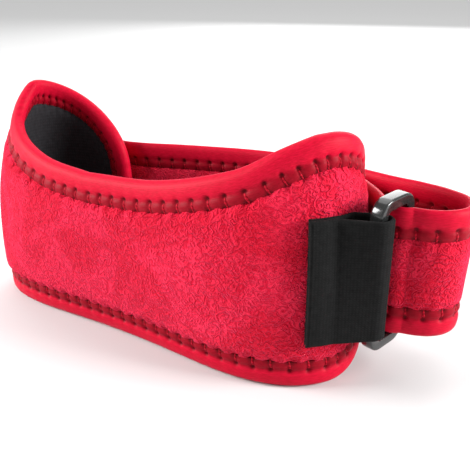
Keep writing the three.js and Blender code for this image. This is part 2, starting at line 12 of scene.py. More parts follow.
import bpy
import numpy as np
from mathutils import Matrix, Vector


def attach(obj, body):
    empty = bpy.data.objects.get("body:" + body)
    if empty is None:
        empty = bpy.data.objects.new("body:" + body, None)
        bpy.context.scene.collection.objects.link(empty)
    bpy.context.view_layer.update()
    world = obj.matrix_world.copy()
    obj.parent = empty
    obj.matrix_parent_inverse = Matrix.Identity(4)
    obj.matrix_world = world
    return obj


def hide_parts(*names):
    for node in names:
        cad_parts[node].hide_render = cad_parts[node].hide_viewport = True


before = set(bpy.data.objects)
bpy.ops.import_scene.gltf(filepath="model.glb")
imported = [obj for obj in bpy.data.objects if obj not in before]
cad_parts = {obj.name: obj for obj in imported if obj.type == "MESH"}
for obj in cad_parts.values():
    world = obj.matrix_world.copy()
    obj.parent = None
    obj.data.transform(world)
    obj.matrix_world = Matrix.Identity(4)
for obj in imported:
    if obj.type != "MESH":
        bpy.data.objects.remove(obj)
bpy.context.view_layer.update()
print("solids in the frame:", sorted(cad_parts))

# %% [markdown]
# ## Smooth curves through a few rows
#
# A bend is easiest to write as a short table and a curve that passes through its rows. A cubic
# between each two rows, whose slope at a row comes from the rows on both sides, is smooth enough
# for cloth and never needs an equation to be solved. It works on whole arrays at once.


# %% Curve through rows
def through(places, values, x):
    """Cubic through rows: each span blends its two end values and two end slopes, and a slope is
    the rise between the neighbouring rows over their distance."""
    places, values = np.asarray(places, float), np.asarray(values, float)
    before = np.maximum(np.arange(len(places)) - 1, 0)
    after = np.minimum(np.arange(len(places)) + 1, len(places) - 1)
    run = (places[after] - places[before]).reshape((-1,) + (1,) * (values.ndim - 1))
    slope = (values[after] - values[before]) / run
    i = np.clip(np.searchsorted(places, x, side="right") - 1, 0, len(places) - 2)
    h = places[i + 1] - places[i]
    t = np.clip((x - places[i]) / h, 0, 1)
    t, h = (a.reshape(a.shape + (1,) * (values.ndim - 1)) for a in (t, h))
    ends = (2 * t**3 - 3 * t**2 + 1) * values[i] + (3 * t**2 - 2 * t**3) * values[i + 1]
    slopes = (t**3 - 2 * t**2 + t) * slope[i] + (t**3 - t**2) * slope[i + 1]
    return ends + h * slopes


# %% [markdown]
# ## The bent front
#
# The front stands on its lower edge, and that edge is walked from the middle both ways. At each
# place the table gives the direction of the cloth, how far its top leans towards the leg, and how
# much it bellies out. The far lobe turns back on itself and the near lobe curls round to the ring.

# %% Course of the front
FAR_REACH, NEAR_REACH = 119.0, 114.5
FULL_HEIGHT, BELLY = 76.8, 5.0
MIDDLE = np.array([-24.70, -26.35])
FRONT = {
    "along": [-1.0, -0.875, -0.75, -0.625, -0.5, -0.375, -0.25, -0.125, 0.0,
              0.125, 0.25, 0.375, 0.5, 0.625, 0.75, 0.875, 1.0],
    "heading": [-197.6, -184.6, -150.5, -107.5, -61.2, -19.6, -1.7, 2.0, 0.0,
                -2.9, -5.1, -4.5, 4.8, 26.3, 64.0, 106.9, 147.2],
    "lean": [3.7, 5.3, 6.4, 6.9, 7.1, 6.1, 3.5, 0.9, -0.3,
             -0.2, 0.1, 0.5, 0.9, 1.3, 1.8, 2.3, 3.0],
    "belly": [0.6, 0.8, 1, 1, 1, 1, 1, 1, 1, 1, 1, 1, 0.85, 0.55, 0.3, 0.25, 0.25],
}
WALK = 0.5


def walk_edge(side, reach):
    """Plan of the lower edge: the sum of short steps, each in the direction the table gives."""
    share = side * (np.arange(int(reach / WALK) + 2) + 0.5) * WALK / reach
    heading = np.radians(through(FRONT["along"], FRONT["heading"], share))
    steps = side * WALK * np.stack([np.cos(heading), np.sin(heading)], 1)
    return np.vstack([[0, 0], np.cumsum(steps, 0)])


edge_far, edge_near = walk_edge(-1, FAR_REACH), walk_edge(1, NEAR_REACH)
print("the edge's ends are", np.round(edge_far[-1], 1), "and", np.round(edge_near[-1], 1))


def on_front(along, height, out):
    """Edge point, plus the outward direction times (belly - lean * height + out), raised by height."""
    along, height, out = np.broadcast_arrays(along, height, out)
    share = np.where(along < 0, along / FAR_REACH, along / NEAR_REACH)
    steps = np.abs(along) / WALK
    number = np.arange(len(edge_far))
    plan = [
        np.where(
            along < 0,
            np.interp(steps, number, edge_far[:, k]),
            np.interp(steps, number[: len(edge_near)], edge_near[:, k]),
        )
        for k in (0, 1)
    ]
    heading = np.radians(through(FRONT["along"], FRONT["heading"], share))
    lean = np.radians(through(FRONT["along"], FRONT["lean"], share))
    belly = BELLY * through(FRONT["along"], FRONT["belly"], share)
    push = belly * np.sin(np.pi * np.clip(height / FULL_HEIGHT, 0, 1.05)) - np.sin(lean) * height + out
    x = plan[0] + np.sin(heading) * push + MIDDLE[0]
    y = plan[1] - np.cos(heading) * push + MIDDLE[1]
    return np.stack([x, y, height * np.cos(lean)], -1)


# %% [markdown]
# ## The cut of the front
#
# Laid flat, the front is low in the middle and rises to a lobe at each end. Each end is two
# quarter ellipses with a short straight between them. The outline is walked at equal steps, and
# the direction into the cloth at each step lets any line parallel to the edge be found later:
# the fold of the tape, the row of needle holes and the shoulder of the pile all follow it.

# %% Outline of the front
LOBES = {
    "far": {"side": -1, "reach": FAR_REACH, "peak": 69.0, "height": 79.4, "foot": 96.0},
    "near": {"side": 1, "reach": NEAR_REACH, "peak": 84.0, "height": FULL_HEIGHT, "foot": 84.0},
}
DIP, END_TOP, END_FOOT = 56.6, 46.8, 36.0
CUT_STEP = 0.6
RISE = {"out": [0, 0.33, 0.66, 0.82, 0.93, 1], "rise": [0, 0.1, 0.46, 0.8, 0.97, 1]}


def lobe_end(side, reach, peak, height, foot):
    """Down one end: a quarter ellipse from the peak, a straight, a quarter ellipse to the foot."""
    a = np.radians(np.linspace(0, 90, 60))
    upper = np.stack([peak + (reach - peak) * np.sin(a), END_TOP + (height - END_TOP) * np.cos(a)], 1)
    lower = np.stack([foot + (reach - foot) * np.cos(a), END_FOOT * (1 - np.sin(a))], 1)
    return np.vstack([upper, lower]) * [side, 1]


def front_top():
    """From peak to peak: the dip's height plus a share of the rise that depends on the way out."""
    share = np.linspace(-1, 1, 240)[1:-1]
    rise = through(RISE["out"], RISE["rise"], np.abs(share))
    peak = np.where(share < 0, LOBES["far"]["peak"], LOBES["near"]["peak"])
    height = np.where(share < 0, LOBES["far"]["height"], LOBES["near"]["height"])
    return np.stack([share * peak, DIP + (height - DIP) * rise], 1)


def cut_of(path, step):
    """A closed outline at equal steps: its points, the direction into the cloth and the length."""
    loop = np.vstack([path, path[:1]])
    marks = np.concatenate([[0], np.cumsum(np.hypot(*np.diff(loop, axis=0).T))])
    count = int(round(marks[-1] / step))
    s = np.linspace(0, marks[-1], count, endpoint=False)
    points = np.stack([np.interp(s, marks, loop[:, k]) for k in (0, 1)], 1)
    ahead = np.roll(points, -3, 0) - np.roll(points, 3, 0)
    ahead /= np.linalg.norm(ahead, axis=1)[:, None]
    inward = np.stack([ahead[:, 1], -ahead[:, 0]], 1)
    return {"points": points, "inward": inward, "s": s, "length": marks[-1]}


front_path = np.vstack([front_top(), lobe_end(**LOBES["near"]), lobe_end(**LOBES["far"])[::-1]])
front_cut = cut_of(front_path, CUT_STEP)
print("the front's edge is", round(front_cut["length"]), "mm round")

# %% [markdown]
# ## The strap's course
#
# The strap is sewn to the outside of the far lobe, runs round the back, passes the near lobe,
# goes through the ring, turns round its far bar and comes back to lie on itself. Such a course is
# easiest to hold as stations: at each one the lower edge, the upper edge and the bow between them.
# Columns: lower edge x, y, z, upper edge x, y, z, bow, all in millimetres.

# %% Stations of the strap
STRAP_ROWS = [
    (-88.6, -0.8, 13.4, -85.0, -1.7, 54.1, 1.6),
    (-86.7, 4.5, 13.4, -83.5, 2.9, 54.1, 1.6),
    (-83.8, 9.2, 13.4, -81.1, 7.1, 54.1, 1.6),
    (-79.9, 13.2, 13.4, -77.8, 10.6, 54.1, 1.6),
    (-75.4, 16.3, 13.4, -73.8, 13.5, 54.2, 1.6),
    (-70.3, 18.4, 13.4, -69.3, 15.4, 54.2, 1.6),
    (-64.9, 19.4, 13.4, -64.5, 16.5, 54.2, 1.4),
    (-59.5, 19.6, 13.4, -59.6, 16.8, 54.2, 1.3),
    (-54.1, 19.0, 13.4, -54.5, 16.5, 54.3, 1.2),
    (-48.9, 18.2, 13.5, -49.4, 15.9, 54.3, 1.0),
    (-43.7, 18.7, 13.6, -44.3, 16.5, 54.4, 0.4),
    (-38.6, 19.7, 13.7, -39.2, 17.5, 54.5, 0.0),
    (-33.6, 21.2, 13.8, -34.3, 19.0, 54.6, 0.0),
    (-28.6, 22.8, 13.8, -29.3, 20.7, 54.7, 0.0),
    (-23.6, 24.2, 13.9, -24.4, 22.1, 54.8, 0.0),
    (-18.5, 25.4, 14.0, -19.3, 23.4, 54.9, 0.0),
    (-13.4, 26.6, 14.1, -14.3, 24.6, 55.0, 0.0),
    (-8.3, 27.7, 14.2, -9.2, 25.8, 55.1, 0.0),
    (-3.1, 28.7, 14.3, -4.2, 26.9, 55.2, 0.0),
    (2.0, 29.6, 14.4, 0.9, 27.8, 55.3, 0.0),
    (7.2, 30.2, 14.5, 6.1, 28.4, 55.4, 0.0),
    (12.4, 30.4, 14.6, 11.2, 28.7, 55.5, 0.0),
    (17.7, 30.3, 14.7, 16.4, 28.7, 55.6, 0.0),
    (22.9, 29.7, 14.8, 21.6, 28.1, 55.7, 0.0),
    (27.9, 28.4, 14.9, 26.6, 26.9, 55.8, 0.0),
    (32.8, 26.5, 15.0, 31.5, 25.1, 55.9, 0.0),
    (37.5, 24.3, 15.1, 36.2, 23.0, 56.0, 0.0),
    (42.1, 21.7, 15.1, 40.7, 20.5, 56.1, 0.0),
    (46.4, 18.8, 15.2, 45.0, 17.6, 56.2, 0.0),
    (50.5, 15.5, 15.3, 49.1, 14.4, 56.3, 0.0),
    (54.4, 11.9, 15.4, 52.9, 11.0, 56.4, 0.0),
    (58.1, 8.2, 15.5, 56.6, 7.3, 56.4, 0.0),
    (61.1, 4.5, 15.5, 60.3, 3.1, 56.5, 0.0),
    (63.6, 0.8, 15.5, 64.0, -1.6, 56.5, 0.0),
    (66.0, -3.0, 15.5, 67.5, -6.3, 56.5, 0.0),
    (66.7, -3.8, 15.5, 68.2, -7.0, 56.5, 0.0),
    (67.6, -4.4, 15.5, 69.1, -7.6, 56.5, 0.0),
    (68.5, -4.8, 15.5, 70.0, -8.0, 56.5, 0.0),
    (69.5, -4.9, 15.5, 71.0, -8.2, 56.5, 0.0),
    (70.5, -4.9, 15.5, 72.1, -8.1, 56.5, 0.0),
    (71.5, -4.6, 15.5, 73.0, -7.9, 56.5, 0.0),
    (72.4, -4.1, 15.5, 73.9, -7.4, 56.5, 0.0),
    (73.2, -3.5, 15.5, 74.7, -6.7, 56.5, 0.0),
    (77.3, -2.6, 15.5, 79.5, -5.9, 56.5, 0.0),
    (81.1, -0.7, 15.5, 83.7, -3.8, 56.5, 0.0),
    (83.9, 2.5, 15.5, 86.7, -0.2, 56.5, 0.0),
    (85.0, 6.6, 15.5, 87.8, 4.3, 56.5, 0.0),
    (84.0, 10.7, 15.5, 86.6, 8.8, 56.5, 0.0),
    (81.3, 14.0, 15.5, 83.6, 12.4, 56.5, 0.0),
    (77.7, 16.5, 15.4, 79.6, 15.0, 56.4, 0.0),
    (73.8, 18.3, 15.4, 75.3, 16.9, 56.4, 0.0),
    (69.8, 19.6, 15.4, 70.8, 18.3, 56.3, 0.0),
    (65.6, 20.6, 15.3, 66.2, 19.3, 56.3, 0.0),
    (61.3, 21.4, 15.3, 61.6, 20.0, 56.2, 0.0),
    (57.1, 22.2, 15.2, 57.0, 20.8, 56.2, 0.0),
    (53.0, 23.2, 15.2, 52.4, 21.9, 56.2, 0.0),
    (48.9, 24.6, 15.2, 47.8, 23.3, 56.1, 0.0),
    (44.9, 26.2, 15.1, 43.5, 25.0, 56.1, 0.0),
    (40.0, 29.0, 15.1, 38.6, 27.7, 56.0, 0.0),
    (34.9, 31.4, 15.0, 33.5, 30.0, 55.9, 0.0),
    (29.5, 33.4, 14.9, 28.1, 32.0, 55.8, 0.0),
    (23.8, 34.9, 14.8, 22.5, 33.4, 55.7, 0.0),
    (18.0, 35.6, 14.7, 16.7, 34.0, 55.6, 0.0),
    (12.4, 35.7, 14.6, 11.1, 34.0, 55.5, 0.0),
]

# %% Stations of the webbing
WEB_ROWS = [
    (53.5, -27.8, 17.0, 53.1, -27.3, 55.0, -0.7),
    (56.2, -25.2, 17.0, 55.7, -24.7, 55.0, -0.6),
    (58.5, -22.2, 17.0, 57.8, -21.7, 55.0, -0.5),
    (60.4, -18.9, 17.0, 59.6, -18.5, 55.0, -0.4),
    (61.8, -15.5, 17.0, 60.8, -15.1, 55.0, -0.4),
    (62.3, -14.4, 17.0, 61.8, -14.7, 55.0, -0.3),
    (62.8, -13.3, 17.0, 62.8, -14.3, 55.0, -0.2),
    (63.3, -12.2, 17.0, 63.8, -13.8, 55.0, -0.2),
    (63.8, -11.1, 17.0, 64.8, -13.4, 55.0, -0.1),
    (64.3, -9.9, 17.0, 65.8, -13.0, 55.0, 0.0),
    (65.2, -9.3, 17.0, 66.6, -12.3, 55.0, 0.0),
    (66.2, -8.9, 17.0, 67.6, -11.9, 55.0, 0.0),
    (67.2, -8.8, 17.0, 68.6, -11.8, 55.0, 0.0),
    (68.2, -9.0, 17.0, 69.6, -12.0, 55.0, 0.0),
    (69.2, -9.5, 17.0, 70.6, -12.5, 55.0, 0.0),
    (69.9, -10.3, 17.0, 71.3, -13.3, 55.0, 0.0),
    (70.4, -11.2, 17.0, 71.9, -14.2, 55.0, 0.0),
    (70.7, -12.2, 17.0, 72.1, -15.2, 55.0, 0.0),
    (70.6, -13.2, 17.0, 72.0, -16.2, 55.0, 0.0),
    (70.3, -14.2, 17.0, 71.7, -17.2, 55.0, 0.0),
    (69.7, -15.1, 17.0, 71.1, -18.1, 55.0, 0.0),
    (68.9, -15.7, 17.0, 70.3, -18.7, 55.0, 0.0),
    (67.1, -17.2, 17.0, 68.1, -19.5, 55.0, 0.1),
    (65.3, -18.7, 17.0, 65.9, -20.3, 55.0, 0.2),
    (63.5, -20.2, 17.0, 63.6, -21.1, 55.0, 0.3),
    (61.7, -21.8, 17.0, 61.4, -21.9, 55.0, 0.4),
    (59.9, -23.3, 17.0, 59.2, -22.7, 55.0, 0.5),
    (57.4, -26.4, 17.0, 56.9, -25.9, 55.0, 0.6),
    (54.6, -29.2, 17.0, 54.2, -28.7, 55.0, 0.7),
]


# %% Cloth placed on stations
def course(rows):
    """Stations and the length along them, measured midway between the two edges."""
    rows = np.array(rows)
    middle = (rows[:, 0:3] + rows[:, 3:6]) / 2
    marks = np.concatenate([[0], np.cumsum(np.linalg.norm(np.diff(middle, axis=0), axis=1))])
    return {"marks": marks, "rows": rows, "length": marks[-1]}


def on_course(way, width, along, height, out):
    """Between lower and upper edge by the share of the height, then left of the run by the bow's
    parabola plus the offset."""
    along, height, out = np.broadcast_arrays(along, height, out)
    at = lambda x: through(way["marks"], way["rows"], np.clip(x, 0, way["length"]))
    here, ahead, behind = at(along), at(along + 0.6), at(along - 0.6)
    share = (height / width)[..., None]
    run = (1 - share) * (ahead - behind)[..., 0:3] + share * (ahead - behind)[..., 3:6]
    left = np.stack([-run[..., 1], run[..., 0], 0 * run[..., 0]], -1)
    left /= np.linalg.norm(left, axis=-1)[..., None]
    bow = here[..., 6:7] * 4 * share * (1 - share)
    return (1 - share) * here[..., 0:3] + share * here[..., 3:6] + left * (out[..., None] + bow)


STRAP_WIDTH, WEB_WIDTH = 41.0, 38.0
strap_way, web_way = course(STRAP_ROWS), course(WEB_ROWS)


def on_strap(along, height, out):
    """The strap's cloth coordinates to the row's frame."""
    return on_course(strap_way, STRAP_WIDTH, along, height, out)


def on_web(along, height, out):
    """The webbing's cloth coordinates to the row's frame."""
    return on_course(web_way, WEB_WIDTH, along, height, out)


print("strap", round(strap_way["length"]), "mm and webbing", round(web_way["length"]), "mm long")

# %% [markdown]
# ## The cut of the strap
#
# A long rectangle with round ends. Only one line parallel to the edge is ever needed at a time,
# so the same kind of outline as the front's does for it.

# %% Outline of the strap
STRAP_CORNER = 14.0


def strap_path():
    """Clockwise: the top edge, then a quarter circle at each corner."""
    length, r = strap_way["length"], STRAP_CORNER
    a = np.radians(np.linspace(0, 90, 40))
    turn = r * np.stack([np.sin(a), np.cos(a)], 1)
    upper = turn + [length - r, STRAP_WIDTH - r]
    lower = (turn * [1, -1])[::-1] + [length - r, r]
    right = np.vstack([upper, lower])
    left = (right * [-1, 1] + [length, 0])[::-1]
    return np.vstack([right, left])


strap_cut = cut_of(strap_path(), CUT_STEP)
print("the strap's edge is", round(strap_cut["length"]), "mm round")

# %% [markdown]
# ## Places along an edge
#
# Tape, stitches and the shoulder of the pile all need two things: the point at a given length
# round the edge and depth from it, and, the other way round, how deep in the cloth a point lies.

# %% Along the edge and in from it
PITCH, HOLE_DEPTH, NOTCH_DEPTH = 5.2, 6.1, 9.4


def at_edge(cut, s, depth):
    """Outline point at length s, moved into the cloth by the depth."""
    where = s / cut["length"] * len(cut["s"])
    low = np.floor(where).astype(int)
    t = (where - low)[..., None]
    i, j = low % len(cut["s"]), (low + 1) % len(cut["s"])
    mixed = {k: (1 - t) * cut[k][i] + t * cut[k][j] for k in ("points", "inward")}
    return mixed["points"] + mixed["inward"] * np.asarray(depth)[..., None]


def from_edge(cut, flat):
    """Depth of points from the nearest outline point, along its inward direction, and its length."""
    rows = []
    for row in flat:
        apart = row[:, None] - cut["points"][None]
        near = np.argmin((apart**2).sum(-1), 1)
        gap = row - cut["points"][near]
        rows.append(np.stack([(gap * cut["inward"][near]).sum(-1), cut["s"][near]], -1))
    rows = np.array(rows)
    return rows[..., 0], rows[..., 1]


def from_stitch(cut, s):
    """Signed length along the edge to the nearest stitch."""
    pitch = cut["length"] / round(cut["length"] / PITCH)
    return ((s / pitch) % 1 - 0.5) * pitch


def bell(x, width):
    """One at nought, falling away on both sides over the width."""
    return np.exp(-((x / width) ** 2))


# %% [markdown]
# ## From arrays to a mesh
#
# Every piece is one or two grids of points. A grid that closes on itself shares its first and
# last vertices, so there is no seam in it, while its pattern coordinates run on to the full
# length. The sum of the small volumes between the faces and the origin tells which way the faces
# point, and they are turned round if it is negative.


# %% Grids and pieces
def grid(rows, columns, wrap_rows=False, wrap_columns=False):
    """Four corners of each cell, as rows and columns that don't wrap, and as vertex numbers."""
    i, j = np.meshgrid(
        np.arange(rows - (not wrap_rows)), np.arange(columns - (not wrap_columns)), indexing="ij"
    )
    cells = np.stack([np.stack(c, -1) for c in ((i, j), (i + 1, j), (i + 1, j + 1), (i, j + 1))], -2)
    cells = cells.reshape(-1, 4, 2)
    return cells, (cells[..., 0] % rows) * columns + cells[..., 1] % columns


def add_piece(name, points, faces, pattern, material, slot, replaces=()):
    """A mesh from points in millimetres, four-cornered faces and a pattern place for each corner."""
    a, b, c, d = (points[faces[:, k]] for k in range(4))
    volume = (np.cross(a, b) * c).sum() + (np.cross(a, c) * d).sum()
    if volume < 0:
        faces, pattern = faces[:, ::-1], pattern[:, ::-1]
    mesh = bpy.data.meshes.new(name)
    mesh.from_pydata((points * 0.001).tolist(), [], faces.tolist())
    mesh.polygons.foreach_set("use_smooth", np.ones(len(faces), bool))
    mesh.uv_layers.new(name="cloth").data.foreach_set("uv", pattern.astype(np.float32).ravel())
    mesh.materials.append(material)
    piece = bpy.data.objects.new(name, mesh)
    bpy.context.collection.objects.link(piece)
    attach(piece, "root")
    if replaces:
        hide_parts(*replaces)
    print(name, 2 * len(faces), "triangles,", round(abs(volume) / 6000, 1), "cm3")
    return piece


def shell(outer, inner, flat):
    """Two grids over the same cells, joined round their border: points, faces and pattern."""
    rows, columns = outer.shape[:2]
    cells, faces = grid(rows, columns)
    count = rows * columns
    n = np.arange(count).reshape(rows, columns)
    border = np.concatenate([n[:-1, 0], n[-1, :-1], n[:0:-1, -1], n[0, :0:-1]])
    after = np.roll(border, -1)
    rim = np.stack([border, border + count, after + count, after], 1)
    faces = np.concatenate([faces, faces[:, ::-1] + count, rim])
    points = np.concatenate([outer.reshape(-1, 3), inner.reshape(-1, 3)])
    place = np.concatenate([flat.reshape(-1, 2)] * 2)
    return points, faces, place[faces]


# %% [markdown]
# ## Shader maths as expressions
#
# A pattern is easier to read as arithmetic than as a tree of boxes. This class holds one output
# of a node, so `1 - mask` or `a * b` adds the Math nodes, and every other node is made by its one
# method `node`.


# %% A wire between nodes
class Wire:
    """One output of a material's nodes."""

    def __init__(self, tree, socket=None):
        self.tree, self.socket = tree, socket

    def node(self, kind, settings=None, sockets=None, out=0):
        """Adds a node: its settings first, then the values or wires of its sockets."""
        made = self.tree.nodes.new(kind)
        for name, value in (settings or {}).items():
            setattr(made, name, value)
        for name, value in (sockets or {}).items():
            if isinstance(value, Wire):
                self.tree.links.new(value.socket, made.inputs[name])
            else:
                made.inputs[name].default_value = value
        return Wire(self.tree, made.outputs[out])

    def math(self, operation, first, second=0.0):
        return self.node("ShaderNodeMath", {"operation": operation}, {0: first, 1: second})

    def __add__(self, other):
        return self.math("ADD", self, other)

    def __sub__(self, other):
        return self.math("SUBTRACT", self, other)

    def __rsub__(self, other):
        return self.math("SUBTRACT", other, self)

    def __mul__(self, other):
        return self.math("MULTIPLY", self, other)

    def ramp(self, low, high):
        """Nought below low, one above high, smooth between."""
        settings = {"interpolation_type": "SMOOTHSTEP"}
        sockets = {"Value": self, "From Min": low, "From Max": high}
        return self.node("ShaderNodeMapRange", settings, sockets)

    def pick(self, first, second):
        """Mix of two colours by this wire."""
        settings = {"data_type": "RGBA"}
        return self.node("ShaderNodeMix", settings, {0: self, 6: first, 7: second}, out=2)


def colour(red, green, blue):
    """A colour with full cover."""
    return (red, green, blue, 1.0)


def finish_of(name, base, rough, depth, strength, fixed=None):
    """A material from a function of the pattern place that gives its base colour and its relief."""
    made = bpy.data.materials.new(name)
    made.use_nodes = True
    tree = made.node_tree
    shader = tree.nodes["Principled BSDF"]
    place = Wire(tree).node("ShaderNodeUVMap", {"uv_map": "cloth"})
    shade, relief = base(place)
    tree.links.new(shade.socket, shader.inputs["Base Color"])
    shader.inputs["Roughness"].default_value = rough
    for socket, value in (fixed or {}).items():
        shader.inputs[socket].default_value = value
    sockets = {"Height": relief, "Distance": depth, "Strength": strength}
    bump = place.node("ShaderNodeBump", None, sockets)
    tree.links.new(bump.socket, shader.inputs["Normal"])
    print("finish", name, len(tree.nodes), "nodes")
    return made


# %% [markdown]
# ## Looped pile
#
# The red face is a short loop pile, the kind that hook tape grips. Seen close, its loops lie in
# all directions like short worms. A noise that bends its own coordinates strongly gives swirls of
# that kind, about a millimetre across, and a finer one breaks them up. The colour follows that
# relief: painted shade in the valleys, a painted pink highlight on the tips. Larger patches lie one
# way or the other, as brushed pile does.


# %% Pile finish
def pile(place):
    """Bent noise for the loops plus a finer one for their strands; the colour is painted shade in the
    valleys and a painted highlight on the tips.
    """
    noise = lambda scale, detail, bend: place.node(
        "ShaderNodeTexNoise",
        {"noise_dimensions": "2D"},
        {"Vector": place, "Scale": scale, "Detail": detail, "Distortion": bend},
    )
    worms = noise(0.52, 1.0, 1.9)
    fine = noise(1.5, 1.0, 1.0)
    height = worms.ramp(0.28, 0.72) * 0.7 + fine * 0.5
    patches = noise(0.05, 3.0, 1.0).ramp(0.35, 0.65)
    # Painted light: deep is the darker red painted as shade in the valleys, high the pinker red
    # painted as highlight on the tips.
    painted_light_share = height.ramp(0.05, 1.05)
    deep = patches.pick(colour(0.44, 0.002, 0.014), colour(0.52, 0.004, 0.024))
    high = patches.pick(colour(0.64, 0.010, 0.032), colour(0.76, 0.022, 0.060))
    return painted_light_share.pick(deep, high), height


SHEEN = {
    "Sheen Weight": 0.17,
    "Sheen Roughness": 0.5,
    "Sheen Tint": colour(1.0, 0.26, 0.55),
    "Specular IOR Level": 0.05,
}
PILE = finish_of("loop_pile", pile, 0.9, depth=0.0009, strength=0.8, fixed=SHEEN)

# %% [markdown]
# ## Tape
#
# The edges are bound with a smooth stretch knit. It has fine ribs along the edge, and what the eye
# sees most are the needle holes: dark dots six millimetres in, and darker notches where the
# thread pulls the pile down. The dots are part real dimples in the mesh, part painted shade; the
# darkness of the notches and of the band between the holes and the pile is painted shade.


# %% Tape finish
def tape(place):
    """Fine ribs from the depth, and painted shade: dark rounds where the length is half-way through a
    stitch, and a darker band inwards of the holes.
    """
    parts = place.node("ShaderNodeSeparateXYZ", None, {"Vector": place})
    length, depth = parts, Wire(parts.tree, parts.socket.node.outputs[1])
    gap = (place.math("FRACT", length) - 0.5) * PITCH
    from_hole, from_notch = depth - HOLE_DEPTH, depth - NOTCH_DEPTH
    hole = place.math("SQRT", gap * gap + from_hole * from_hole)
    notch = place.math("SQRT", gap * gap * 0.7 + from_notch * from_notch)
    # Painted shade: dark in the needle holes and in the notches by the pile.
    dark = 0.85 - place.math("MULTIPLY", hole.ramp(0.1, 1.2), notch.ramp(0.2, 1.7)) * 0.85
    # Painted shade: a darker red on the tape from the holes inwards to the pile.
    painted_ladder_shade = depth.ramp(4.9, 7.0) * 0.75
    grain = place.node(
        "ShaderNodeTexNoise",
        {"noise_dimensions": "2D"},
        {"Vector": place, "Scale": 3.0, "Detail": 3.0},
    )
    plain = grain.ramp(0.3, 0.7).pick(colour(0.44, 0.002, 0.018), colour(0.54, 0.003, 0.027))
    tape_with_painted_shade = painted_ladder_shade.pick(plain, colour(0.17, 0.001, 0.006))
    ribs = place.math("SINE", depth * 12.0)
    return dark.pick(tape_with_painted_shade, colour(0.06, 0.001, 0.003)), ribs * 0.2 + grain


SATIN = {
    "Sheen Weight": 0.06,
    "Sheen Roughness": 0.3,
    "Sheen Tint": colour(1.0, 0.40, 0.75),
    "Specular IOR Level": 0.08,
}
TAPE = finish_of("edge_tape", tape, 0.52, depth=0.00008, strength=0.5, fixed=SATIN)

# %% [markdown]
# ## Thread, lining, webbing, plastic and hooks
#
# The rest are quiet finishes at their own scale: twisted thread, a close black knit, a webbing
# whose yarns cross about every millimetre, nearly smooth moulded plastic, and a field of hooks.


# %% Quiet finishes
def thread(place):
    """A twist: waves that climb round the thread, with painted shade darkening the red in their
    grooves.
    """
    parts = place.node("ShaderNodeSeparateXYZ", None, {"Vector": place})
    around = Wire(parts.tree, parts.socket.node.outputs[1])
    twist = place.math("SINE", parts * 26.0 + around * 6.283) * 0.5 + 0.5
    # Painted shade: the thread's red is darker where the twist is low.
    return twist.pick(colour(0.26, 0.002, 0.010), colour(0.50, 0.005, 0.022)), twist


def woven(across, along, dark, light):
    """A weave: one set of waves where the other is low, and the other way about."""

    def pattern(place):
        parts = place.node("ShaderNodeSeparateXYZ", None, {"Vector": place})
        other = Wire(parts.tree, parts.socket.node.outputs[1])
        warp = place.math("SINE", other * across) * 0.5 + 0.5
        weft = place.math("SINE", parts * along + warp * 2.4) * 0.5 + 0.5
        grain = place.node(
            "ShaderNodeTexNoise",
            {"noise_dimensions": "2D"},
            {"Vector": place, "Scale": 0.55, "Detail": 4.0},
        )
        height = warp * weft * 0.5 + grain * 1.1
        return height.ramp(0.2, 1.2).pick(colour(*dark), colour(*light)), height

    return pattern


def plastic(place):
    """Almost even: a slow ripple of the mould."""
    coords = place.node("ShaderNodeTexCoord", out=3)
    ripple = place.node("ShaderNodeTexNoise", None, {"Vector": coords, "Scale": 400.0, "Detail": 3.0})
    return ripple.pick(colour(0.012, 0.013, 0.013), colour(0.020, 0.021, 0.021)), ripple


DUST = {"Sheen Weight": 0.03, "Sheen Roughness": 0.5, "Specular IOR Level": 0.25}
THREAD = finish_of("red_thread", thread, 0.5, depth=0.0001, strength=0.6, fixed=SATIN)
LINING = finish_of(
    "black_knit", woven(5.2, 5.2, (0.008, 0.0075, 0.009), (0.020, 0.019, 0.022)), 0.85,
    depth=0.0001, strength=0.5, fixed=DUST,
)
WEBBING = finish_of(
    "black_webbing", woven(8.5, 6.5, (0.0015, 0.0015, 0.0015), (0.006, 0.006, 0.006)), 0.85,
    depth=0.00014, strength=0.6, fixed={"Specular IOR Level": 0.16},
)
HOOKS = finish_of(
    "hook_tape", woven(3.9, 3.9, (0.010, 0.010, 0.011), (0.035, 0.035, 0.037)), 0.6,
    depth=0.0004, strength=0.9,
)
RING = finish_of("moulded_plastic", plastic, 0.16, depth=0.00003, strength=0.3, fixed={"IOR": 1.55})

# %% [markdown]
# ## The padded front
#
# The front is one panel of foam with pile outside and a black knit inside. Its four sides are
# stretches of the outline, and a surface between four curves is their two-way average less the
# average of their corners. The thickness depends only on how deep a point lies: thin under the
# tape, then up over a round shoulder, which the thread draws down at each stitch. A simulation
# would need a remesh coarser than the shoulder, so the padding is worked out directly.

# %% Panel between four sides
LAP, SHOULDER, SCALLOP, PILE_INSET = 8.7, 3.6, 1.2, 1.6


def panel_flat(cut, corners, inset, step):
    """Two-way average of the four sides less that of the corners, on an even grid."""
    spots = [int(np.argmin(((cut["points"] - c) ** 2).sum(1))) for c in corners]
    lengths = [((spots[(k + 1) % 4] - spots[k]) % len(cut["s"])) for k in range(4)]
    size = cut["length"] / len(cut["s"])
    nu = int(max(lengths[0], lengths[2]) * size / step)
    nv = int(max(lengths[1], lengths[3]) * size / step)

    def side(k, count):
        s = (spots[k] + lengths[k] * np.linspace(0, 1, count + 1)) * size
        return at_edge(cut, s % cut["length"], np.full(count + 1, inset))

    top, near, foot, far = side(0, nu), side(1, nv), side(2, nu)[::-1], side(3, nv)[::-1]
    u = np.linspace(0, 1, nu + 1)[:, None, None]
    v = np.linspace(0, 1, nv + 1)[None, :, None]
    ends = (1 - v) * ((1 - u) * top[0] + u * top[-1]) + v * ((1 - u) * foot[0] + u * foot[-1])
    return (1 - v) * top[:, None] + v * foot[:, None] + (1 - u) * far[None] + u * near[None] - ends


